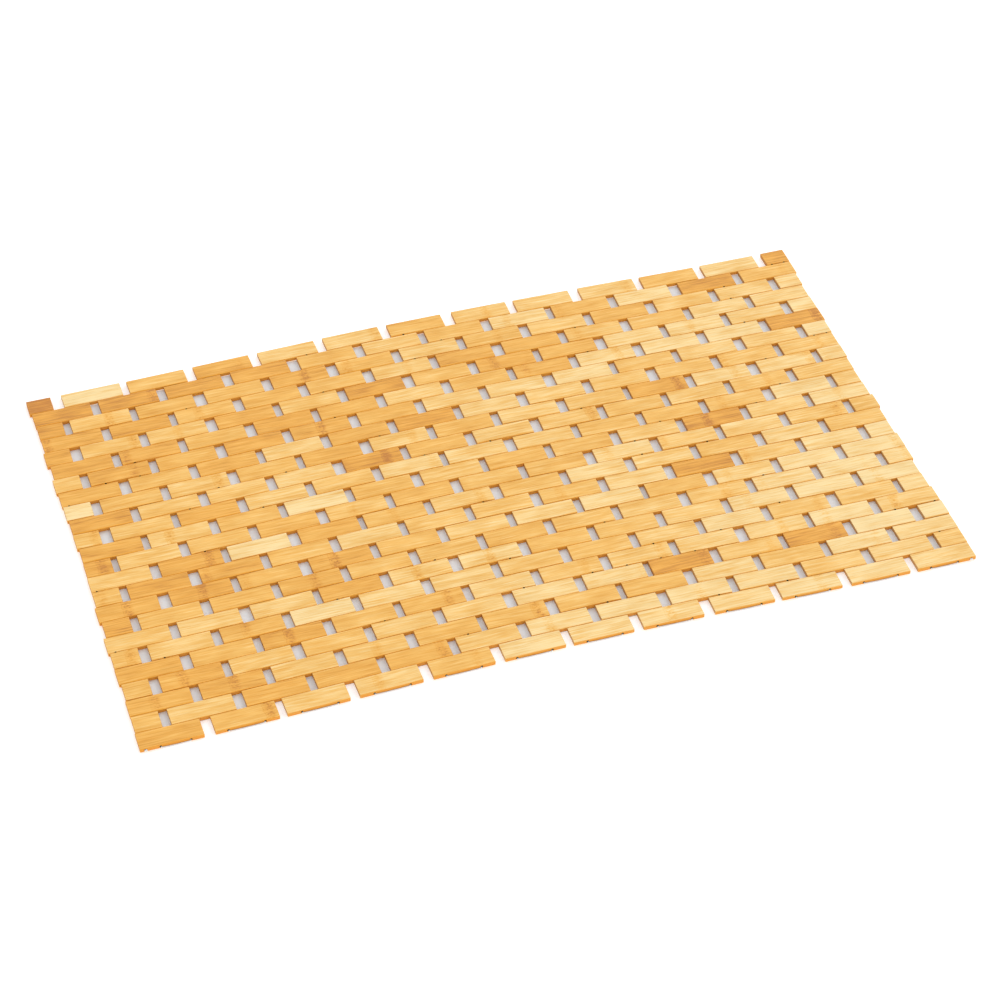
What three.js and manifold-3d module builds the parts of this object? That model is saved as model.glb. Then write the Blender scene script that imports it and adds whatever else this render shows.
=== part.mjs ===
// Bamboo slat bath mat, lying flat.
// Millimetres, +Z up. X runs along the long side and Y across the mat, away from the near edge.
// The underside is at z = 0 and the origin is below the middle of the mat.
import * as THREE from "three";
import { mergeVertices } from "three/addons/utils/BufferGeometryUtils.js";
import Module from "manifold-3d";

const wasm = await Module();
wasm.setup();

// Slats, laid end to end in rows and staggered like bricks
const ROWS = 24;
const UNITS = 12;
const SLAT_LENGTH = 59;
const END_GAP = 8.4;
const ROW_PITCH = 20.8;
const THICKNESS = 4.5;
const EDGE_CHAMFER = 0.6;

// Unevenness of the made mat: how far a slat may sit along its row, how its length varies,
// and how far the middle of the mat is pushed away from its two ends
const SLAT_SHIFT = 1.4;
const LENGTH_SPREAD = 1.0;
const BOW = 7.3;

// How far the far corners are splayed to the sides, and from which share of the half width on
const FLARE = 5.7;
const FLARE_START = 0.21;

// Multipliers that scatter the unevenness over the rows, the slats and its two kinds
const SCATTER = { row: 12.9898, index: 78.233, kind: 37.719, spread: 43758.5453 };
const SHIFT_KIND = 1;
const LENGTH_KIND = 2;

// Cord and the holes drilled for it, from the near edge to the far one
const CORD_DIAMETER = 1.2;
const BORE_DIAMETER = 2.4;
const CORD_SIDES = 6;
const CORNER_RADIUS = 1.2;
const CORNER_STEPS = 2;
const SIDE_HOLES = [5.5, 19];
const KNOT_LENGTH = 4.2;
const KNOT_DIAMETER = 3.4;
const KNOT_CLEARANCE = 0.4;

const BAMBOO = { color: 0xcfa065, roughness: 0.55, metalness: 0 };
const WHITE_CORD = { color: 0xf1efe8, roughness: 0.7, metalness: 0 };

const UNIT = SLAT_LENGTH + END_GAP;
const LATTICE_HALF = (UNITS * UNIT) / 2;
const HALF_LENGTH = LATTICE_HALF - END_GAP / 2;
const HALF_WIDTH = (ROWS * ROW_PITCH) / 2;
const FLARE_LINE = FLARE_START * HALF_WIDTH;
const CORD_HEIGHT = THICKNESS / 2;

// Repeatable unevenness between -1 and 1 for one slat of one row
function uneven(row, index, kind) {
  const angle = row * SCATTER.row + index * SCATTER.index + kind * SCATTER.kind;
  const wave = Math.sin(angle) * SCATTER.spread;
  return 2 * (wave - Math.floor(wave)) - 1;
}

// The rows lie in a slight arc: the middle is pushed towards the far edge
function bow(x) {
  return (BOW / 2) * Math.cos((Math.PI * x) / HALF_LENGTH);
}

// Past the flare line each row is splayed a little more than the row before it
function flare(x, y) {
  const share = Math.max(y - FLARE_LINE, 0) / (HALF_WIDTH - FLARE_LINE);
  return FLARE * share * Math.sin((Math.PI * x) / (2 * HALF_LENGTH));
}

function rowLine(row) {
  return HALF_WIDTH - row * ROW_PITCH;
}

// Even rows begin and end with a half slat, odd rows have whole slats only
function rowOffset(row) {
  return row % 2 === 0 ? 0.5 : 0;
}

function slatsInRow(row) {
  return row % 2 === 0 ? UNITS + 1 : UNITS;
}

// The two ends of a slat along its row
function slatEnds(row, index) {
  const from = Math.max(index - rowOffset(row), 0) * UNIT + END_GAP / 2;
  const to = Math.min(index + 1 - rowOffset(row), UNITS) * UNIT - END_GAP / 2;
  const splay = flare((from + to) / 2 - LATTICE_HALF, rowLine(row + 0.5));
  const shift = SLAT_SHIFT * uneven(row, index, SHIFT_KIND) + splay - LATTICE_HALF;
  const stretch = (LENGTH_SPREAD / 2) * uneven(row, index, LENGTH_KIND);
  return [from + shift - stretch, to + shift + stretch];
}

// A closed geometry as a solid that can be cut and joined
function solidFrom(geometry) {
  geometry.deleteAttribute("normal");
  geometry.deleteAttribute("uv");
  const merged = mergeVertices(geometry);
  const mesh = new wasm.Mesh({
    numProp: 3,
    vertProperties: new Float32Array(merged.attributes.position.array),
    triVerts: new Uint32Array(merged.index.array),
  });
  return new wasm.Manifold(mesh);
}

function geometryFrom(solid) {
  const mesh = solid.getMesh();
  const geometry = new THREE.BufferGeometry();
  geometry.setAttribute("position", new THREE.BufferAttribute(mesh.vertProperties, 3));
  geometry.setIndex(new THREE.BufferAttribute(mesh.triVerts, 1));
  return geometry;
}

// A slat as a block of four levels: the underside and the top are drawn in by the chamfer
function slatSolid(row, index) {
  const [left, right] = slatEnds(row, index);
  const near = rowLine(row + 1);
  const far = rowLine(row);
  const levels = [
    { z: 0, inset: EDGE_CHAMFER },
    { z: EDGE_CHAMFER, inset: 0 },
    { z: THICKNESS - EDGE_CHAMFER, inset: 0 },
    { z: THICKNESS, inset: EDGE_CHAMFER },
  ];
  const steps = levels.length - 1;
  const block = new THREE.BoxGeometry(1, 1, 1, 1, 1, steps);
  const points = block.attributes.position;
  for (let i = 0; i < points.count; i += 1) {
    const { z, inset } = levels[Math.round((points.getZ(i) + 0.5) * steps)];
    const x = points.getX(i) < 0 ? left + inset : right - inset;
    const y = points.getY(i) < 0 ? near + inset : far - inset;
    points.setXYZ(i, x, y, z);
  }
  return solidFrom(block);
}

// Where the cord runs through the slats: two holes near each slat end,
// and near the mat's two sides one pair that also holds the half slats
function cordColumns() {
  const columns = SIDE_HOLES.map((inset) => inset - HALF_LENGTH);
  for (let half = 1; half < 2 * UNITS - 1; half += 1) {
    columns.push(((half + 0.5) * UNIT) / 2 - LATTICE_HALF);
  }
  return columns.concat([...SIDE_HOLES].reverse().map((inset) => HALF_LENGTH - inset));
}

// A hole from the near edge to the far one, with one slight bend at the flare line
function boreSolid(x) {
  const length = 2 * (HALF_WIDTH + BOW);
  const radius = BORE_DIAMETER / 2;
  const bore = new THREE.CylinderGeometry(radius, radius, length, CORD_SIDES, 2);
  const points = bore.attributes.position;
  for (let i = 0; i < points.count; i += 1) {
    const atBend = Math.abs(points.getY(i)) < length / 4;
    const y = atBend ? FLARE_LINE : points.getY(i);
    points.setXYZ(i, points.getX(i) + x + flare(x, y), y + bow(x), points.getZ(i) + CORD_HEIGHT);
  }
  return solidFrom(bore);
}

// All the slats, pressed together row on row and joined where they touch
function slatField() {
  let field = slatSolid(0, 0);
  for (let row = 0; row < ROWS; row += 1) {
    for (let index = row === 0 ? 1 : 0; index < slatsInRow(row); index += 1) {
      field = field.add(slatSolid(row, index));
    }
  }
  const geometry = geometryFrom(field);
  const points = geometry.attributes.position;
  for (let i = 0; i < points.count; i += 1) {
    points.setY(i, points.getY(i) + bow(points.getX(i)));
  }
  let bored = solidFrom(geometry);
  for (const x of cordColumns()) {
    bored = bored.subtract(boreSolid(x));
  }
  return geometryFrom(bored);
}

// A route through its own points, with one step from each point to the next
class Route extends THREE.Curve {
  constructor(points) {
    super();
    this.points = points;
  }

  getUtoTmapping(u) {
    return u;
  }

  getPoint(t, target = new THREE.Vector3()) {
    const place = t * (this.points.length - 1);
    const index = Math.min(Math.floor(place), this.points.length - 2);
    return target.lerpVectors(this.points[index], this.points[index + 1], place - index);
  }
}

function onCord(x, y) {
  return new THREE.Vector3(x + flare(x, y), y + bow(x), CORD_HEIGHT);
}

// Round one corner of a loop, out of the slat edge on the given side (1 far, -1 near)
function cornerPoints(x, side, turn) {
  const points = [];
  for (let step = 0; step <= CORNER_STEPS; step += 1) {
    const angle = ((Math.PI / 2) * step) / CORNER_STEPS;
    const along = CORNER_RADIUS * (1 - Math.cos(angle));
    const out = CORNER_RADIUS * Math.sin(angle);
    points.push(onCord(x + turn * along, side * (HALF_WIDTH + out)));
  }
  return points;
}

function knotPlace(x) {
  return onCord(x, -(HALF_WIDTH + KNOT_CLEARANCE + KNOT_DIAMETER / 2));
}

// One cord to and fro through every column, looping over the slat edge at each end
function cordRoute(columns) {
  const points = [knotPlace(columns[0]), onCord(columns[0], -HALF_WIDTH)];
  for (let i = 0; i + 1 < columns.length; i += 1) {
    const side = i % 2 === 0 ? 1 : -1;
    points.push(onCord(columns[i], FLARE_LINE));
    points.push(...cornerPoints(columns[i], side, 1));
    points.push(...cornerPoints(columns[i + 1], side, -1).reverse());
  }
  const last = columns[columns.length - 1];
  points.push(onCord(last, FLARE_LINE), onCord(last, -HALF_WIDTH), knotPlace(last));
  return points;
}

function knotSolid(x) {
  const knot = new THREE.IcosahedronGeometry(1, 1);
  knot.scale(KNOT_LENGTH / 2, KNOT_DIAMETER / 2, KNOT_DIAMETER / 2);
  const place = knotPlace(x);
  knot.translate(place.x, place.y, place.z);
  return solidFrom(knot);
}

function cordSection() {
  const corners = [];
  for (let i = 0; i < CORD_SIDES; i += 1) {
    const angle = (2 * Math.PI * i) / CORD_SIDES;
    const corner = new THREE.Vector2(Math.cos(angle), Math.sin(angle));
    corners.push(corner.multiplyScalar(CORD_DIAMETER / 2));
  }
  return new THREE.Shape(corners);
}

function cordGeometry() {
  const columns = cordColumns();
  const points = cordRoute(columns);
  const tube = new THREE.ExtrudeGeometry(cordSection(), {
    steps: points.length - 1,
    extrudePath: new Route(points),
  });
  const cord = solidFrom(tube)
    .add(knotSolid(columns[0]))
    .add(knotSolid(columns[columns.length - 1]));
  return geometryFrom(cord);
}

function named(name, geometry, finish) {
  const mesh = new THREE.Mesh(geometry, new THREE.MeshStandardMaterial(finish));
  mesh.name = name;
  return mesh;
}

const mat = new THREE.Group();
mat.add(named("slats", slatField(), BAMBOO));
mat.add(named("cord", cordGeometry(), WHITE_CORD));

// Stand the mat over the origin by the middle of its own box
const middle = new THREE.Box3().setFromObject(mat).getCenter(new THREE.Vector3());
mat.position.set(-middle.x, -middle.y, 0);

export default mat;
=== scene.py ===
import math

import bmesh
import bpy
from bpy.props import FloatProperty, FloatVectorProperty, PointerProperty
from mathutils import Matrix, Vector


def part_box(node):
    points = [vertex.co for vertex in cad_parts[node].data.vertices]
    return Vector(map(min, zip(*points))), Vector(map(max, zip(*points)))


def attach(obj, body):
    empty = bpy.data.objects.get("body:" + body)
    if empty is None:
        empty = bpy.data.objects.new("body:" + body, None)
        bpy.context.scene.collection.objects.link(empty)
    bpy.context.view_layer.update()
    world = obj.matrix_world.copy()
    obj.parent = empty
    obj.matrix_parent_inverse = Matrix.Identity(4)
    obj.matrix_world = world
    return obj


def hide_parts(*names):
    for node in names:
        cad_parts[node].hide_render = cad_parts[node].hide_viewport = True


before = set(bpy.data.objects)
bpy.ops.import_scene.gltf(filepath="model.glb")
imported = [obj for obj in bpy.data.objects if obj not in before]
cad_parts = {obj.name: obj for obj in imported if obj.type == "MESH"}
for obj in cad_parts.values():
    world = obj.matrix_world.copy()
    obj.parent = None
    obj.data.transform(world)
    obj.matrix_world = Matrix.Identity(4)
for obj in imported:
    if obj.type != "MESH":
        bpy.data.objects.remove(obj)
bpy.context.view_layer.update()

bl_info = {
    "name": "Bamboo Slat Mat",
    "version": (1, 0, 0),
    "blender": (4, 5, 0),
    "location": "3D View > Sidebar > Slat Mat",
    "description": "Lays a bamboo bath mat of staggered slats, threaded on one cord",
    "category": "Add Mesh",
}

MM = 0.001
SLATS_LOW, SLATS_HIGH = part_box("slats")

# The mat's pattern, as its solid has it: rows, slats in a row, holes in a slat and,
# at the mat's two sides, how far the holes lie from the end of the row
ROWS = 24
UNITS = 12
HOLES_PER_SLAT = 2
SIDE_HOLES = (5.5 * MM, 19 * MM)

# Multipliers that scatter a slat's unevenness over its row, its place and its kind
SCATTER_ROW = 12.9898
SCATTER_INDEX = 78.233
SCATTER_KIND = 37.719
SCATTER_SPREAD = 43758.5453

# The kinds of unevenness. A kind's place is its number: shift and length have those of the solid.
KINDS = (
    "none", "shift", "length", "width", "height", "turn", "tilt",
    "tone", "slant", "seed_x", "seed_y", "seed_z", "ring", "ring_place", "ring_depth", "round",
    "chip",
)

# How far the slats differ in shape and in how they lie
WIDTH_SPREAD = 0.12 * MM
HEIGHT_SPREAD = 0.15 * MM
TILT_SPREAD = math.radians(0.5)
TURN_SPREAD = math.radians(0.08)
LEAST_ROUND = 0.9
EXTRA_ROUND = 1.1
FLAT_FACING = 0.99

# Chips at the mouths of the cord's holes, and how uneven a place is that has one
CHIP_FROM = 0.8
CHIP_RADIUS = 1.2 * MM
CHIP_DEPTH = 0.75 * MM

# Tone of a plain slat, from 0 for the palest to 1 for brown, and how it varies over the mat
PLAIN_TONE = 0.42
TONE_SPREAD = 0.2
PALER_TO_THE_RIGHT = 0.18
PALER_TO_THE_FRONT = 0.07

# Slats that stand out, by row from the far edge and place from the left
STANDOUT_TONES = {
    "brown": ((0, 0),),
    "russet": (
        (0, 12), (1, 10), (4, 5), (5, 11), (7, 5), (9, 4), (11, 9), (14, 9), (20, 8), (20, 10),
    ),
    "tan": ((4, 7), (8, 9), (14, 2), (15, 3), (22, 2), (23, 0)),
    "pale": ((0, 1), (8, 0), (11, 3), (13, 2), (18, 3)),
}
TONE_OF = {"pale": 0.13, "tan": 0.67, "russet": 0.78, "brown": 1.0}
STANDOUT_OF = {slat: TONE_OF[word] for word, slats in STANDOUT_TONES.items() for slat in slats}

# Slats with a clear ring of the cane across them: row, place, share of the length, depth
RINGS = (
    (0, 7, 0.60, 0.7), (0, 9, 0.85, 0.6), (2, 1, 0.65, 0.9), (2, 4, 0.60, 0.7), (2, 5, 0.18, 0.7),
    (3, 2, 0.40, 0.7), (4, 1, 0.90, 0.8), (4, 7, 0.30, 0.7), (5, 11, 0.90, 1.0), (7, 11, 0.70, 0.7),
    (8, 9, 0.85, 0.9), (8, 10, 0.75, 0.7), (9, 4, 0.75, 0.9), (9, 7, 0.88, 1.0), (9, 10, 0.65, 0.6),
    (11, 1, 0.35, 1.0), (11, 9, 0.40, 0.8), (13, 1, 0.80, 0.8), (15, 0, 0.50, 0.9),
    (15, 3, 0.40, 0.9), (15, 11, 0.90, 0.8), (17, 5, 0.50, 1.0), (17, 11, 0.30, 0.7),
    (18, 0, 0.70, 0.8), (19, 2, 0.45, 0.9), (19, 4, 0.75, 0.8), (19, 11, 0.28, 1.0),
    (21, 5, 0.85, 1.0), (22, 6, 0.35, 0.8), (23, 1, 0.88, 1.0), (23, 3, 0.35, 0.7), (23, 7, 0.50, 0.8),
)
RING_OF = {(row, index): (share, depth) for row, index, share, depth in RINGS}
NO_RING = -10.0

# The fainter rings of the other slats: how uneven a slat is that has one, how far from its middle
# the ring may lie, as a share of its length, and the ring's depth
FAINT_RING_FROM = 0.5
FAINT_RING_REACH = 0.45
FAINT_RING_DEPTH = 0.6
FAINT_RING_SPREAD = 0.25

# A ring of the cane: half its width, how far it wanders, how far the grain swirls in it,
# and the dark line to its left
RING_HALF = 5.5 * MM
RING_WANDER = 5.0 * MM
RING_SWIRL = 8.0 * MM
RING_LINE_LEFT = 5.0 * MM
RING_LINE_HALF = 0.6 * MM

# The bamboo's textures: cells in a metre along, across and through a slat, detail and roughness
WOBBLE_TEXTURE = ((90.0, 240.0, 240.0), 2.0, 0.6)
TEXTURES = {
    "streaks": ((9.0, 170.0, 170.0), 2.0, 0.55),
    "grain": ((24.0, 560.0, 560.0), 2.0, 0.6),
    "fibres": ((45.0, 1500.0, 1500.0), 2.0, 0.6),
    "patches": ((30.0, 60.0, 60.0), 2.0, 0.5),
    "specks": ((420.0, 640.0, 640.0), 1.0, 0.5),
}

# How much each texture changes the slat's tone, and how much it darkens its colour
TONE_STRENGTHS = {"streaks": 0.3, "grain": 0.66, "fibres": 1.1, "patches": 0.42}
SHADE_STRENGTHS = {"grain": 0.22, "patches": 0.2}

# Tones at which the bamboo has each of its colours, from pale to brown
TONE_STOPS = (0.0, 0.2, 0.46, 0.76, 1.0)

# The grain's slant on a slat, and how far from each other the slats take their patterns
SLANT_SPREAD = 0.03
PATTERN_SPREAD = 5

# The stage: the floor's reach, how far it lies below the mat, and the sheet of painted shade just above
# it
FLOOR_REACH = 6.0
FLOOR_DROP = 0.1 * MM
SHADED_DROP = 0.05 * MM
SHADED_INSET = 12 * MM

# The camera at the photograph's angle, on a long lens
PHOTO_PIXELS = 1001
FOCAL_PIXELS = 2827.0
SENSOR_WIDTH = 36
AZIMUTH = math.radians(-17.659)
ELEVATION = math.radians(41.977)
ROLL = math.radians(-0.269)
AIM = Vector((0.87 * MM, -35.4 * MM, 0.0))


def uneven(row, index, kind):
    """Repeatable unevenness between -1 and 1 for one slat."""
    angle = row * SCATTER_ROW + index * SCATTER_INDEX + KINDS.index(kind) * SCATTER_KIND
    wave = math.sin(angle) * SCATTER_SPREAD
    return 2 * (wave - math.floor(wave)) - 1


class MatSizes(bpy.types.PropertyGroup):
    """Sizes of the slats, their spacing and the cord"""
    slat_length: FloatProperty(
        name="Slat length", description="Length of a whole slat", default=59 * MM, unit="LENGTH")
    end_gap: FloatProperty(
        name="End gap", description="Gap between slat ends in a row", default=8.4 * MM, unit="LENGTH")
    row_pitch: FloatProperty(
        name="Row pitch", description="Distance from row to row", default=20.8 * MM, unit="LENGTH")
    hairline: FloatProperty(
        name="Hairline", description="Gap between two rows", default=0.17 * MM, unit="LENGTH")
    thickness: FloatProperty(
        name="Thickness", description="Thickness of a slat",
        default=SLATS_HIGH[2] - SLATS_LOW[2], unit="LENGTH")
    edge_round: FloatProperty(
        name="Edge round", description="How far the long edges are rounded",
        default=0.7 * MM, unit="LENGTH")
    end_round: FloatProperty(
        name="End round", description="How far the edges at the ends are eased",
        default=0.45 * MM, unit="LENGTH")
    slat_shift: FloatProperty(
        name="Slat shift", description="How far a slat may sit along its row",
        default=1.4 * MM, unit="LENGTH")
    length_spread: FloatProperty(
        name="Length spread", description="How far slat lengths differ", default=1.0 * MM, unit="LENGTH")
    bow: FloatProperty(
        name="Bow", description="How far the middle is pushed to the far edge",
        default=7.3 * MM, unit="LENGTH")
    flare: FloatProperty(
        name="Flare", description="How far the far corners are splayed to the sides",
        default=5.7 * MM, unit="LENGTH")
    flare_start: FloatProperty(
        name="Flare start", description="Share of the half width from which the rows are splayed",
        default=0.21, subtype="FACTOR")
    bore_diameter: FloatProperty(
        name="Cord hole", description="Diameter of the drilled holes", default=2.4 * MM, unit="LENGTH")
    cord_diameter: FloatProperty(
        name="Cord diameter", description="Diameter of the cord", default=1.2 * MM, unit="LENGTH")


class MatFinish(bpy.types.PropertyGroup):
    """Colours of the bamboo and the cord"""
    pale: FloatVectorProperty(
        name="Pale bamboo", description="Tone of the palest slats", size=3, subtype="COLOR",
        min=0, max=1, default=(0.89, 0.68, 0.34))
    straw: FloatVectorProperty(
        name="Straw bamboo", description="Tone of the pale slats", size=3, subtype="COLOR",
        min=0, max=1, default=(0.88, 0.61, 0.25))
    honey: FloatVectorProperty(
        name="Honey bamboo", description="Tone of most slats", size=3, subtype="COLOR",
        min=0, max=1, default=(0.85, 0.485, 0.12))
    tan: FloatVectorProperty(
        name="Tan bamboo", description="Tone of the darker slats", size=3, subtype="COLOR",
        min=0, max=1, default=(0.775, 0.367, 0.056))
    brown: FloatVectorProperty(
        name="Brown bamboo", description="Tone of the darkest slats", size=3, subtype="COLOR",
        min=0, max=1, default=(0.53, 0.205, 0.036))
    # Rounded edges: the bamboo's warm tone there, made darker partly as painted shade of the seams
    # between rows
    edge: FloatVectorProperty(
        name="Slat edges", description="Tone of the rounded edges of the slats", size=3, subtype="COLOR",
        min=0, max=1, default=(0.86, 0.38, 0.025))
    # Long sides: the bamboo's warm tone there, made darker partly as painted shade in the hairlines and
    # gaps
    side: FloatVectorProperty(
        name="Slat sides", description="Tone of the cut sides of the slats", size=3, subtype="COLOR",
        min=0, max=1, default=(0.68, 0.27, 0.03))
    end: FloatVectorProperty(
        name="Slat ends", description="Tone of the cut ends of the slats", size=3, subtype="COLOR",
        min=0, max=1, default=(0.38, 0.15, 0.02))
    # Painted shade: the drilled walls, the chips and the cord inside the holes take this dark colour
    shadow: FloatVectorProperty(
        name="Hole shadow", description="Tone of all that lies in the cord's holes", size=3,
        subtype="COLOR", min=0, max=1, default=(0.035, 0.014, 0.004))
    cord: FloatVectorProperty(
        name="Cord", description="Colour of the cord", size=3, subtype="COLOR",
        min=0, max=1, default=(0.93, 0.92, 0.89))


class StudioSettings(bpy.types.PropertyGroup):
    """The floor, the lights and the camera"""
    floor_colour: FloatVectorProperty(
        name="Floor", description="Colour of the floor", size=3, subtype="COLOR",
        min=0, max=1, default=(0.95, 0.95, 0.96))
    floor_glow: FloatProperty(
        name="Floor glow", description="How far the floor shines by itself round the mat",
        default=0.3, min=0)
    # Painted shade: a darker, cooler sheet under the mat that shows in the gaps
    painted_shade_colour: FloatVectorProperty(
        name="Shaded floor", description="Colour of the floor below the mat", size=3, subtype="COLOR",
        min=0, max=1, default=(0.87, 0.90, 0.93))
    low_light: FloatProperty(
        name="Low light", description="Strength of the light from all sides", default=1.75, min=0)
    top_light: FloatProperty(
        name="Top light", description="Strength of the light from above", default=0.55, min=0)
    key_power: FloatProperty(
        name="Key light", description="Strength of the soft light from the far right", default=0.8, min=0)
    camera_distance: FloatProperty(
        name="Camera distance", description="From the camera to its aim", default=2.7165, unit="LENGTH")


class Lattice:
    """Where the slats and the holes for the cord lie, worked out from the sizes."""

    def __init__(self, sizes):
        self.sizes = sizes
        self.unit = sizes.slat_length + sizes.end_gap
        self.half = UNITS * self.unit / 2
        self.half_length = self.half - sizes.end_gap / 2
        self.half_width = ROWS * sizes.row_pitch / 2
        self.flare_line = sizes.flare_start * self.half_width
        lefts = [self.ends(row, 0)[0] for row in range(ROWS)]
        rights = [self.ends(row, self.count(row) - 1)[1] for row in range(ROWS)]
        self.shift_x = (SLATS_LOW[0] + SLATS_HIGH[0] - min(lefts) - max(rights)) / 2
        self.shift_y = SLATS_LOW[1] + self.half_width + sizes.bow / 2

    def offset(self, row):
        """Even rows begin and end with a half slat."""
        return 0.5 if row % 2 == 0 else 0.0

    def count(self, row):
        """How many slats the row has."""
        return UNITS + 1 if row % 2 == 0 else UNITS

    def middle_of_row(self, row):
        """How far across the mat the row lies, before the rows are bowed."""
        return self.half_width - (row + 0.5) * self.sizes.row_pitch

    def ends(self, row, index):
        """The two ends of a slat along its row, before the mat is moved to its place."""
        sizes = self.sizes
        start = max(index - self.offset(row), 0) * self.unit + sizes.end_gap / 2 - self.half
        end = min(index + 1 - self.offset(row), UNITS) * self.unit - sizes.end_gap / 2 - self.half
        splay = self.flare((start + end) / 2, self.middle_of_row(row))
        shift = sizes.slat_shift * uneven(row, index, "shift") + splay
        stretch = sizes.length_spread / 2 * uneven(row, index, "length")
        return start + shift - stretch, end + shift + stretch

    def flare(self, x, y):
        """How far the rows past the flare line are splayed to the sides."""
        share = max(y - self.flare_line, 0.0) / (self.half_width - self.flare_line)
        return self.sizes.flare * share * math.sin(math.pi * x / (2 * self.half_length))

    def bow(self, x):
        """How far the rows are pushed to the far edge here."""
        return self.sizes.bow / 2 * math.cos(math.pi * x / self.half_length)

    def slope(self, x):
        """How steeply the bowed rows run here."""
        rate = math.pi / self.half_length
        return -self.sizes.bow / 2 * rate * math.sin(rate * x)

    def place(self, x, y, z=0.0):
        """A point of a slat, whose row is splayed already, where it lies in the frame."""
        return Vector((x + self.shift_x, y + self.bow(x) + self.shift_y, z))

    def threaded(self, x, y, z):
        """A point of the cord or its holes, splayed with the rows."""
        return Vector((x + self.flare(x, y) + self.shift_x, y + self.bow(x) + self.shift_y, z))

    def covers(self, point):
        """Whether a point of the cord lies between the mat's two long edges."""
        across = point.y - self.shift_y - self.bow(point.x - self.shift_x)
        return abs(across) < self.edge - 0.1 * MM

    @property
    def edge(self):
        """Half the width over the slats' own faces."""
        return self.half_width - self.sizes.hairline / 2

    def lying_height(self):
        """The middle of the cord where it lies just above the bottom of its holes."""
        bottom = (self.sizes.thickness - self.sizes.bore_diameter) / 2
        return bottom + self.sizes.cord_diameter / 2 + 0.03 * MM

    def columns(self):
        """Where the cord crosses the rows, from left to right."""
        left = [inset - self.half_length for inset in SIDE_HOLES]
        halves = range(1, HOLES_PER_SLAT * UNITS - 1)
        middle = [(half + 0.5) * self.unit / HOLES_PER_SLAT - self.half for half in halves]
        return left + middle + [-x for x in reversed(left)]


class Graph:
    """Short words for building a material's nodes."""

    def __init__(self, name):
        self.material = bpy.data.materials.new(name)
        self.material.use_nodes = True
        self.tree = self.material.node_tree
        self.tree.nodes.clear()

    def feed(self, socket, value):
        """Links the socket where the value comes from a node, and sets it otherwise."""
        if isinstance(value, bpy.types.NodeSocket):
            self.tree.links.new(value, socket)
        else:
            socket.default_value = value

    def add(self, kind, inputs=(), **settings):
        made = self.tree.nodes.new(kind)
        for name, value in settings.items():
            setattr(made, name, value)
        for name, value in dict(inputs).items():
            self.feed(made.inputs[name], value)
        return made

    def maths(self, operation, *values, clamp=False):
        made = self.add("ShaderNodeMath", dict(enumerate(values)), operation=operation, use_clamp=clamp)
        return made.outputs[0]

    def vector(self, operation, *values):
        made = self.add("ShaderNodeVectorMath", dict(enumerate(values)), operation=operation)
        return made.outputs[0]

    def attribute(self, name, output="Fac"):
        return self.add("ShaderNodeAttribute", attribute_name=name).outputs[output]

    def part(self, vector, axis):
        """One axis of a vector."""
        return self.add("ShaderNodeSeparateXYZ", {0: vector}).outputs[axis]

    def sideways(self, distance):
        """A vector across the mat."""
        return self.add("ShaderNodeCombineXYZ", {"Y": distance}).outputs[0]

    def noise(self, place, cells, detail, roughness):
        """Smooth noise with the given count of cells in a metre along each axis."""
        scaled = self.vector("MULTIPLY", place, cells)
        inputs = {"Vector": scaled, "Scale": 1.0, "Detail": detail, "Roughness": roughness}
        return self.add("ShaderNodeTexNoise", inputs).outputs["Fac"]

    def blend(self, factor, base, other, mode="MIX"):
        """Mixes two colours. The mix node has its colour sockets at 6 and 7."""
        made = self.add("ShaderNodeMix", data_type="RGBA", blend_type=mode, clamp_factor=True)
        for number, value in ((0, factor), (6, base), (7, other)):
            self.feed(made.inputs[number], value)
        return made.outputs[2]

    def ramp(self, factor, stops):
        made = self.add("ShaderNodeValToRGB", {"Fac": factor})
        elements = made.color_ramp.elements
        while len(elements) < len(stops):
            elements.new(0.5)
        for element, (position, colour) in zip(elements, stops):
            element.position = position
            element.color = (*colour, 1.0)
        return made.outputs["Color"]

    def band(self, distance, reach, steepness=1.0):
        """1 where the distance is nothing, falling to 0 at the reach."""
        share = self.maths("DIVIDE", self.maths("ABSOLUTE", distance), reach)
        return self.maths("MULTIPLY", self.maths("SUBTRACT", 1.0, share), steepness, clamp=True)

    def rise(self, value, start, steepness):
        """0 up to the start, then rising to 1."""
        return self.maths("MULTIPLY", self.maths("SUBTRACT", value, start), steepness, clamp=True)

    def shaded(self, inputs):
        """The finished material, from the inputs of its one shader."""
        shader = self.add("ShaderNodeBsdfPrincipled", inputs)
        self.add("ShaderNodeOutputMaterial", {"Surface": shader.outputs[0]})
        return self.material


def cane_ring(graph, surface, along):
    """A ring of the cane across a slat: its strength, its dark line and how the grain swirls in it."""
    wobble = graph.maths("SUBTRACT", graph.noise(surface, *WOBBLE_TEXTURE), 0.5)
    from_ring = graph.maths("SUBTRACT", along, graph.attribute("ring_at"))
    from_ring = graph.maths("ADD", from_ring, graph.maths("MULTIPLY", wobble, RING_WANDER))
    depth = graph.attribute("ring_depth")
    ring = graph.maths("MULTIPLY", graph.band(from_ring, RING_HALF, 1.6), depth)
    from_line = graph.maths("ADD", from_ring, RING_LINE_LEFT)
    line = graph.maths("MULTIPLY", graph.band(from_line, RING_LINE_HALF), depth)
    swirl = graph.maths("MULTIPLY", graph.maths("MULTIPLY", wobble, ring), RING_SWIRL)
    return ring, line, graph.sideways(swirl)


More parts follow.
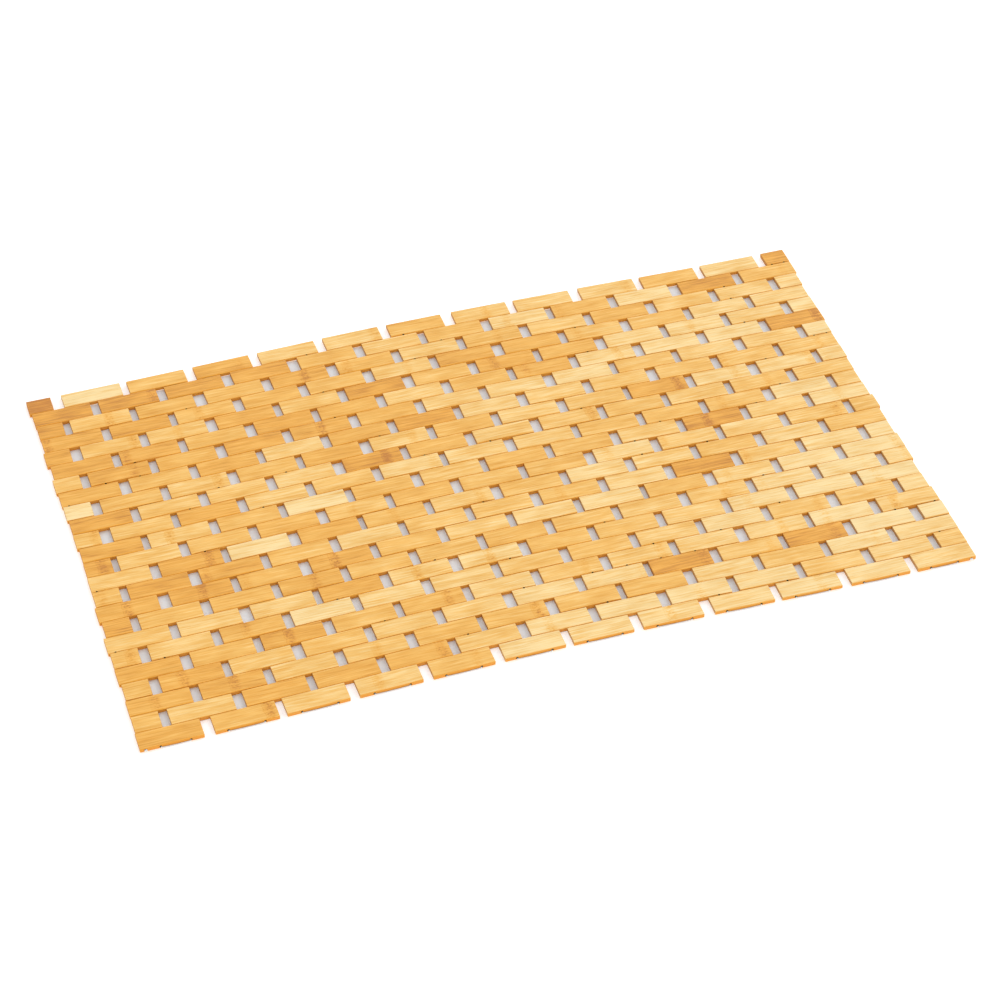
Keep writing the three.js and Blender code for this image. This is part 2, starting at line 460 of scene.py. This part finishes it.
def bamboo_tone(graph, textures, ring, line):
    """The slat's own tone with its grain, its specks and its ring. Pale slats vary more."""
    own_tone = graph.attribute("tone")
    swing = graph.maths("SUBTRACT", 1.25, graph.maths("MULTIPLY", own_tone, 0.75))
    tone = own_tone
    for name, strength in TONE_STRENGTHS.items():
        centred = graph.maths("MULTIPLY", graph.maths("SUBTRACT", textures[name], 0.5), swing)
        tone = graph.maths("ADD", tone, graph.maths("MULTIPLY", centred, strength))
    specks = graph.rise(textures["specks"], 0.48, 6.0)
    darker = graph.maths("ADD", 0.14, graph.maths("MULTIPLY", specks, 0.24))
    tone = graph.maths("ADD", tone, graph.maths("MULTIPLY", ring, darker))
    return graph.maths("ADD", tone, graph.maths("MULTIPLY", line, 0.16))


def bamboo_shade(graph, textures):
    """How far the grain and the patches darken the slat."""
    shade = 1.0
    for name, strength in SHADE_STRENGTHS.items():
        dip = graph.maths("MULTIPLY", graph.maths("SUBTRACT", textures[name], 0.5), strength)
        shade = graph.maths("SUBTRACT", shade, dip)
    return shade


def cut_faces(graph, colour, place, finish):
    """End grain with its pores; edges and sides in their warm tone, made darker partly as painted shade
    of the seams and gaps; and painted shade in the drilled holes.
    """
    facing = graph.add("ShaderNodeNewGeometry").outputs["Normal"]
    at_end = graph.maths("GREATER_THAN", graph.maths("ABSOLUTE", graph.part(facing, "X")), 0.7)
    from_pore = graph.add("ShaderNodeTexVoronoi", {"Vector": place, "Scale": 1500.0}).outputs["Distance"]
    in_pore = graph.maths("MULTIPLY", at_end, graph.maths("LESS_THAN", from_pore, 0.28))
    to_side = graph.maths("ABSOLUTE", graph.part(facing, "Y"))
    for where, strength, tone in (
        (at_end, 0.8, finish.end),
        (in_pore, 0.5, finish.brown),
        # Warm tone of the rounded long edges, darkened partly as painted shade of the seams between rows
        (graph.rise(to_side, 0.1, 1.5), 0.8, finish.edge),
        # Warm tone of the long sides, darkened partly as painted shade in the hairlines and gaps
        (graph.rise(to_side, 0.7, 4.0), 0.9, finish.side),
        # Painted shade on the faces that the holes and chips cut
        (graph.attribute("hole_shade"), 1.0, finish.shadow),
    ):
        colour = graph.blend(graph.maths("MULTIPLY", where, strength), colour, (*tone, 1.0))
    return colour


def bamboo_material(finish):
    """Fibres along the slat, a tone for each slat, rings of the cane, end grain, warm edges and sides
    with painted shade of the seams and gaps, and painted shade in the holes.
    """
    graph = Graph("bamboo")
    surface = graph.add("ShaderNodeTexCoord").outputs["Object"]
    along = graph.part(surface, "X")
    ring, line, swirl = cane_ring(graph, surface, along)
    leaning = graph.sideways(graph.maths("MULTIPLY", along, graph.attribute("slant")))
    place = surface
    for step in (leaning, graph.attribute("seed", "Vector"), swirl):
        place = graph.vector("ADD", place, step)
    textures = {name: graph.noise(place, *texture) for name, texture in TEXTURES.items()}

    colours = (finish.pale, finish.straw, finish.honey, finish.tan, finish.brown)
    tone = bamboo_tone(graph, textures, ring, line)
    colour = graph.ramp(tone, list(zip(TONE_STOPS, colours)))
    colour = graph.blend(1.0, colour, bamboo_shade(graph, textures), mode="MULTIPLY")
    colour = cut_faces(graph, colour, place, finish)

    fibres, grain = textures["fibres"], textures["grain"]
    rough = graph.maths("ADD", graph.maths("MULTIPLY", fibres, 0.2), 0.42)
    height = graph.maths("ADD", graph.maths("MULTIPLY", fibres, 0.6), graph.maths("MULTIPLY", grain, 0.5))
    height = graph.maths("ADD", height, graph.maths("MULTIPLY", ring, 0.6))
    bump = graph.add("ShaderNodeBump", {"Height": height, "Strength": 0.55, "Distance": 0.12 * MM})
    return graph.shaded({
        "Base Color": colour,
        "Roughness": rough,
        "Normal": bump.outputs[0],
        "Specular IOR Level": 0.3,
    })


def cord_material(finish):
    """White elastic cord with its fine braid, and painted shade where it runs in the holes."""
    graph = Graph("white cord")
    place = graph.add("ShaderNodeTexCoord").outputs["Object"]
    turned = graph.add("ShaderNodeMapping", {"Vector": place, "Rotation": (0, 0, math.pi / 4)}).outputs[0]
    waves = {"Vector": turned, "Scale": 700.0}
    strands = [
        graph.add("ShaderNodeTexWave", waves, bands_direction=axis).outputs["Fac"] for axis in ("X", "Y")
    ]
    braid = graph.maths("MULTIPLY", *strands)
    dull = [0.72 * share for share in finish.cord]
    colour = graph.blend(braid, (*dull, 1.0), (*finish.cord, 1.0))
    # Painted shade on the cord where it runs inside the holes
    colour = graph.blend(graph.attribute("cord_hole_shade"), colour, (*finish.shadow, 1.0))
    bump = graph.add("ShaderNodeBump", {"Height": braid, "Strength": 0.6, "Distance": 0.08 * MM})
    return graph.shaded({
        "Base Color": colour,
        "Roughness": 0.7,
        "Normal": bump.outputs[0],
        "Sheen Weight": 0.2,
    })


def floor_material(name, colour, glow):
    """Plain matt floor that may shine a little by itself."""
    return Graph(name).shaded({
        "Base Color": (*colour, 1.0),
        "Roughness": 0.8,
        "Specular IOR Level": 0.2,
        "Emission Color": (1.0, 1.0, 1.0, 1.0),
        "Emission Strength": glow,
    })


def new_object(name, mesh):
    piece = bpy.data.objects.new(name, mesh)
    bpy.context.scene.collection.objects.link(piece)
    return piece


def mesh_from(name, bm):
    mesh = bpy.data.meshes.new(name)
    bm.to_mesh(mesh)
    bm.free()
    return mesh


def evaluated_mesh(piece):
    """The piece's mesh with its modifiers applied, or its curve as a mesh."""
    depsgraph = bpy.context.evaluated_depsgraph_get()
    return bpy.data.meshes.new_from_object(piece.evaluated_get(depsgraph))


def finish_piece(piece, node, material):
    """Puts a finished piece on the mat's one body, in place of its solid."""
    piece.data.materials.clear()
    piece.data.materials.append(material)
    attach(piece, "root")
    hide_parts(node)


def slat_tone(lattice, row, index):
    """0 for the palest slats to 1 for the brown ones; most lie between, a little paler to the right."""
    across = (index + 0.5 - lattice.offset(row)) / UNITS * 2 - 1
    down = (row + 0.5) / ROWS * 2 - 1
    plain = PLAIN_TONE + TONE_SPREAD * uneven(row, index, "tone")
    plain = plain - PALER_TO_THE_RIGHT * across - PALER_TO_THE_FRONT * down
    return STANDOUT_OF.get((row, index), plain)


def slat_ring(row, index):
    """Where along the slat a ring of the cane crosses it, and how deep its colour is."""
    if (row, index) in RING_OF:
        return RING_OF[row, index]
    if uneven(row, index, "ring") < FAINT_RING_FROM:
        return None
    share = 0.5 + FAINT_RING_REACH * uneven(row, index, "ring_place")
    return share, FAINT_RING_DEPTH + FAINT_RING_SPREAD * uneven(row, index, "ring_depth")


def slat_marks(lattice, row, index):
    """What the bamboo's material reads on the faces of a slat."""
    left, right = lattice.ends(row, index)
    ring = slat_ring(row, index)
    start = left + lattice.shift_x
    seed = Vector([uneven(row, index, kind) for kind in ("seed_x", "seed_y", "seed_z")])
    return {
        "tone": slat_tone(lattice, row, index),
        "slant": SLANT_SPREAD * uneven(row, index, "slant"),
        "ring_at": start + ring[0] * (right - left) if ring else NO_RING,
        "ring_depth": ring[1] if ring else 0.0,
        "seed": PATTERN_SPREAD * seed,
    }


def slat_lying(lattice, row, index):
    """The size and place of a slat in its row, with its own small unevenness."""
    sizes = lattice.sizes
    left, right = lattice.ends(row, index)
    middle = (left + right) / 2
    width = sizes.row_pitch - sizes.hairline + WIDTH_SPREAD * uneven(row, index, "width")
    height = sizes.thickness - HEIGHT_SPREAD * (1 + uneven(row, index, "height"))
    tilt = TILT_SPREAD * uneven(row, index, "tilt")
    lift = height / 2 + width / 2 * abs(math.sin(tilt))
    turn = math.atan(lattice.slope(middle)) + TURN_SPREAD * uneven(row, index, "turn")
    return (
        Matrix.Translation(lattice.place(middle, lattice.middle_of_row(row), lift))
        @ Matrix.Rotation(turn, 4, "Z")
        @ Matrix.Rotation(tilt, 4, "X")
        @ Matrix.Diagonal((right - left, width, height, 1.0))
    )


def once_each(elements):
    return list(dict.fromkeys(elements))


def eased_bar(bm, sizes, lying, edge_round):
    """A bar with rounded long edges and eased ends, as a list of its faces."""
    cube = bmesh.ops.create_cube(bm, size=1.0, matrix=lying)
    edges = once_each(edge for vert in cube["verts"] for edge in vert.link_edges)
    long_edges = [edge for edge in edges if edge.calc_length() > sizes.row_pitch]
    rounded = bmesh.ops.bevel(
        bm, geom=long_edges, offset=edge_round, segments=3, profile=0.5, affect="EDGES", material=-1)
    faces = once_each(face for vert in rounded["verts"] for face in vert.link_faces)
    end_edges = once_each(edge for face in faces if len(face.verts) > 4 for edge in face.edges)
    eased = bmesh.ops.bevel(
        bm, geom=end_edges, offset=sizes.end_round, segments=2, profile=0.5, affect="EDGES", material=-1)
    return once_each(face for vert in eased["verts"] for face in vert.link_faces)


def add_slat(bm, lattice, row, index, layers):
    """One slat with its marks, shaded smooth on its rounded edges only."""
    extra = EXTRA_ROUND * max(uneven(row, index, "round"), 0.0)
    edge_round = lattice.sizes.edge_round * (LEAST_ROUND + extra)
    marks = slat_marks(lattice, row, index)
    for face in eased_bar(bm, lattice.sizes, slat_lying(lattice, row, index), edge_round):
        for name, value in marks.items():
            face[layers[name]] = value
        face.normal_update()
        face.smooth = max(abs(part) for part in face.normal) < FLAT_FACING


def cutter(name, bm, lattice):
    """The cutting pieces, splayed with the rows, whose marks on the slats count as drilled and get the
    painted shade of the holes.
    """
    hole_shade = bm.faces.layers.float.new("hole_shade")
    for vert in bm.verts:
        vert.co = lattice.threaded(*vert.co)
    for face in bm.faces:
        face[hole_shade] = 1.0
        face.smooth = True
    return new_object(name, mesh_from(name, bm))


def bore_cutter(lattice):
    """Long round rods where the cord's holes are drilled through all the rows."""
    sizes = lattice.sizes
    radius = sizes.bore_diameter / 2
    bm = bmesh.new()
    for x in lattice.columns():
        across = Matrix.Translation((x, 0, sizes.thickness / 2)) @ Matrix.Rotation(math.pi / 2, 4, "X")
        bmesh.ops.create_cone(
            bm, cap_ends=True, segments=10, radius1=radius, radius2=radius,
            depth=lattice.half_width * 2.2, matrix=across)
    everything = list(bm.verts) + list(bm.edges) + list(bm.faces)
    bmesh.ops.bisect_plane(bm, geom=everything, plane_co=(0, lattice.flare_line, 0), plane_no=(0, 1, 0))
    return cutter("bores", bm, lattice)


def chip_cutter(lattice):
    """Small chips at the mouths of some holes, where the hole shows between two rows in its painted
    shade.
    """
    sizes = lattice.sizes
    bm = bmesh.new()
    for number, x in enumerate(lattice.columns()):
        for row in range(1, ROWS):
            if uneven(row, number, "chip") > CHIP_FROM:
                y = lattice.half_width - row * sizes.row_pitch
                middle = Matrix.Translation((x, y, sizes.thickness - CHIP_DEPTH))
                bmesh.ops.create_icosphere(bm, subdivisions=1, radius=CHIP_RADIUS, matrix=middle)
    return cutter("chips", bm, lattice)


def cut(piece, tool):
    """Takes the cutting pieces out of the piece."""
    drill = piece.modifiers.new("drill", "BOOLEAN")
    drill.operation = "DIFFERENCE"
    drill.solver = "MANIFOLD"
    drill.object = tool
    drilled = evaluated_mesh(piece)
    piece.modifiers.remove(drill)
    piece.data = drilled
    bpy.data.objects.remove(tool)
    if len(drilled.polygons) < ROWS * UNITS:
        raise RuntimeError("the slats were lost while they were drilled")


def loop_points(lattice, start, end, side):
    """Out of one hole, along the slat's edge with a slight sag and into the next hole."""
    corner = 0.75 * MM
    aside = 0.4 * MM
    sag = 0.3 * MM
    inside = 6 * MM
    turns = 5
    steps = 8
    lying = lattice.lying_height()
    low = lying - 0.4 * MM

    def turning(x, turn):
        bend = [lattice.threaded(x, side * (lattice.edge - inside), lying)]
        for step in range(turns + 1):
            angle = math.pi / 2 * step / turns
            along = x + turn * (aside + corner * (1 - math.cos(angle)))
            out = corner * math.sin(angle)
            height = lying + (low - lying) * step / turns
            bend.append(lattice.threaded(along, side * (lattice.edge + out), height))
        return bend

    points = turning(start, 1)
    first, last = start + aside + corner, end - aside - corner
    for step in range(1, steps):
        share = step / steps
        x = first + (last - first) * share
        height = low - 4 * sag * share * (1 - share)
        points.append(lattice.threaded(x, side * (lattice.edge + corner), height))
    return points + turning(end, -1)[::-1]


def knot_points(lattice, x, side):
    """A tight overhand knot against the slat edge, from the hole to its short tail."""
    ring_radius = 0.62 * MM
    wave = 0.36 * MM
    start, sweep = math.radians(25), math.radians(310)
    steps = 30
    centre = lattice.threaded(x, -lattice.edge - 1.05 * MM, lattice.sizes.thickness / 2 + 0.35 * MM)
    points = []
    for step in range(steps + 1):
        angle = start + sweep * step / steps
        reach = ring_radius + wave * math.cos(3 * angle)
        points.append(centre + Vector((
            side * reach * math.sin(2 * angle),
            wave * math.sin(3 * angle),
            reach * math.cos(2 * angle),
        )))
    tail = points[-1]
    for step in range(1, 4):
        points.append(tail + Vector((side * 0.5 * MM * step, -0.1 * MM * step, -0.05 * MM * step)))
    return points


def cord_points(lattice):
    """The cord's way through every column of holes and over the slat edges between them."""
    columns = lattice.columns()
    lying = lattice.lying_height()
    points = knot_points(lattice, columns[0], -1)[::-1]
    points.append(lattice.threaded(columns[0], -lattice.edge, lying))
    for number, (x, following) in enumerate(zip(columns, columns[1:])):
        side = 1 if number % 2 == 0 else -1
        points.append(lattice.threaded(x, lattice.flare_line, lying))
        points += loop_points(lattice, x, following, side)
    last = columns[-1]
    points += [lattice.threaded(last, y, lying) for y in (lattice.flare_line, -lattice.edge)]
    return points + knot_points(lattice, last, 1)


def open_floor():
    """The floor round the mat and under it."""
    bm = bmesh.new()
    below = Matrix.Translation((0, 0, -FLOOR_DROP))
    bmesh.ops.create_grid(bm, x_segments=1, y_segments=1, size=FLOOR_REACH, matrix=below)
    return bm


def painted_shade_floor(lattice):
    """A darker, cooler sheet that shows in the closed gaps, from the second row to the last but one:
    painted shade under the mat.
    """
    bm = bmesh.new()
    bmesh.ops.create_grid(bm, x_segments=24, y_segments=12, size=1.0)
    reach_x = lattice.half_length - SHADED_INSET
    reach_y = lattice.half_width - lattice.sizes.row_pitch
    for vert in bm.verts:
        vert.co = lattice.threaded(vert.co.x * reach_x, vert.co.y * reach_y, -SHADED_DROP)
    return bm


def studio_light(studio):
    """White light from all round, stronger from the sides than from above."""
    world = bpy.data.worlds.new("studio light")
    world.use_nodes = True
    tree = world.node_tree
    direction = tree.nodes.new("ShaderNodeTexCoord").outputs["Generated"]
    parts = tree.nodes.new("ShaderNodeSeparateXYZ")
    fade = tree.nodes.new("ShaderNodeMapRange")
    fade.inputs["To Min"].default_value = studio.low_light
    fade.inputs["To Max"].default_value = studio.top_light
    background = tree.nodes["Background"]
    background.inputs["Color"].default_value = (1.0, 1.0, 1.0, 1.0)
    tree.links.new(direction, parts.inputs[0])
    tree.links.new(parts.outputs["Z"], fade.inputs["Value"])
    tree.links.new(fade.outputs["Result"], background.inputs["Strength"])
    return world


def place_softbox(studio):
    """A wide soft light from the far right."""
    softbox = bpy.data.lights.new("softbox", "SUN")
    softbox.angle = math.radians(40)
    softbox.energy = studio.key_power
    lamp = new_object("softbox", softbox)
    lamp.location = (1.6, 1.0, 1.25)
    lamp.rotation_euler = (-lamp.location).to_track_quat("-Z", "Y").to_euler()


def place_camera(scene, studio):
    """The camera, turned by its roll about the line to its aim."""
    camera = bpy.data.cameras.new("camera")
    camera.sensor_width = SENSOR_WIDTH
    camera.lens = FOCAL_PIXELS * camera.sensor_width / PHOTO_PIXELS
    camera.clip_end = 50
    back = Vector((
        math.sin(AZIMUTH) * math.cos(ELEVATION),
        -math.cos(AZIMUTH) * math.cos(ELEVATION),
        math.sin(ELEVATION),
    ))
    right = Vector((math.cos(AZIMUTH), math.sin(AZIMUTH), 0.0))
    up = back.cross(right)
    turned_right = math.cos(ROLL) * right + math.sin(ROLL) * up
    turned_up = math.cos(ROLL) * up - math.sin(ROLL) * right
    turn = Matrix((turned_right, turned_up, back)).transposed().to_4x4()
    holder = new_object("camera", camera)
    holder.matrix_world = Matrix.Translation(AIM + back * studio.camera_distance) @ turn
    scene.camera = holder


class SLATMAT_OT_slats(bpy.types.Operator):
    """Lay the slats row by row, ease their edges and drill them for the cord"""
    bl_idname = "slat_mat.slats"
    bl_label = "Lay the slats"

    def execute(self, context):
        lattice = Lattice(context.scene.slat_mat_sizes)
        bm = bmesh.new()
        numbers = ("tone", "slant", "ring_at", "ring_depth")
        layers = {name: bm.faces.layers.float.new(name) for name in numbers}
        layers["seed"] = bm.faces.layers.float_vector.new("seed")
        for row in range(ROWS):
            for index in range(lattice.count(row)):
                add_slat(bm, lattice, row, index, layers)
        slats = new_object("mat_slats", mesh_from("mat_slats", bm))
        cut(slats, bore_cutter(lattice))
        cut(slats, chip_cutter(lattice))
        finish_piece(slats, "slats", bamboo_material(context.scene.slat_mat_finish))
        return {"FINISHED"}


class SLATMAT_OT_cord(bpy.types.Operator):
    """Thread the cord to and fro through the slats and knot its ends"""
    bl_idname = "slat_mat.cord"
    bl_label = "Thread the cord"

    def execute(self, context):
        lattice = Lattice(context.scene.slat_mat_sizes)
        points = cord_points(lattice)
        curve = bpy.data.curves.new("cord route", "CURVE")
        curve.dimensions = "3D"
        curve.bevel_depth = lattice.sizes.cord_diameter / 2
        curve.bevel_resolution = 2
        curve.use_fill_caps = True
        spline = curve.splines.new("POLY")
        spline.points.add(len(points) - 1)
        for vertex, point in zip(spline.points, points):
            vertex.co = (*point, 1.0)
        route = new_object("cord route", curve)
        mesh = evaluated_mesh(route)
        bpy.data.objects.remove(route)
        # Faces of the cord inside the holes get painted shade
        cord_hole_shade = mesh.attributes.new("cord_hole_shade", "FLOAT", "FACE")
        for face, shadowed in zip(mesh.polygons, cord_hole_shade.data):
            face.use_smooth = True
            shadowed.value = float(lattice.covers(face.center))
        cord = new_object("mat_cord", mesh)
        finish_piece(cord, "cord", cord_material(context.scene.slat_mat_finish))
        return {"FINISHED"}


class SLATMAT_OT_stage(bpy.types.Operator):
    """Set up the pale floor, the soft light and the camera"""
    bl_idname = "slat_mat.stage"
    bl_label = "Set up the studio"

    def execute(self, context):
        scene = context.scene
        studio = scene.slat_mat_studio
        below_mat = painted_shade_floor(Lattice(scene.slat_mat_sizes))
        # The open floor, and a darker sheet under the mat as painted shade
        for name, bm, colour, glow in (
            ("floor", open_floor(), studio.floor_colour, studio.floor_glow),
            ("shaded floor", below_mat, studio.painted_shade_colour, 0.0),
        ):
            floor = new_object(name, mesh_from(name, bm))
            floor.data.materials.append(floor_material(name, colour, glow))
        scene.world = studio_light(studio)
        scene.view_settings.view_transform = "Standard"
        place_softbox(studio)
        place_camera(scene, studio)
        return {"FINISHED"}


class SLATMAT_PT_panel(bpy.types.Panel):
    """Lists the pieces of the mat and the studio"""
    bl_idname = "SLATMAT_PT_panel"
    bl_label = "Bamboo Slat Mat"
    bl_space_type = "VIEW_3D"
    bl_region_type = "UI"
    bl_category = "Slat Mat"

    def draw(self, context):
        scene = context.scene
        for group in (scene.slat_mat_sizes, scene.slat_mat_finish, scene.slat_mat_studio):
            box = self.layout.box()
            for name in group.__annotations__:
                box.prop(group, name)
        for operator in OPERATORS:
            self.layout.operator(operator.bl_idname)


OPERATORS = (SLATMAT_OT_stage, SLATMAT_OT_cord, SLATMAT_OT_slats)
CLASSES = (MatSizes, MatFinish, StudioSettings, *OPERATORS, SLATMAT_PT_panel)


def register():
    for cls in CLASSES:
        bpy.utils.register_class(cls)
    bpy.types.Scene.slat_mat_sizes = PointerProperty(type=MatSizes)
    bpy.types.Scene.slat_mat_finish = PointerProperty(type=MatFinish)
    bpy.types.Scene.slat_mat_studio = PointerProperty(type=StudioSettings)


def unregister():
    del bpy.types.Scene.slat_mat_studio
    del bpy.types.Scene.slat_mat_finish
    del bpy.types.Scene.slat_mat_sizes
    for cls in reversed(CLASSES):
        bpy.utils.unregister_class(cls)


def main():
    register()
    bpy.ops.slat_mat.stage()
    bpy.ops.slat_mat.cord()
    bpy.ops.slat_mat.slats()


if __name__ == "__main__":
    main()
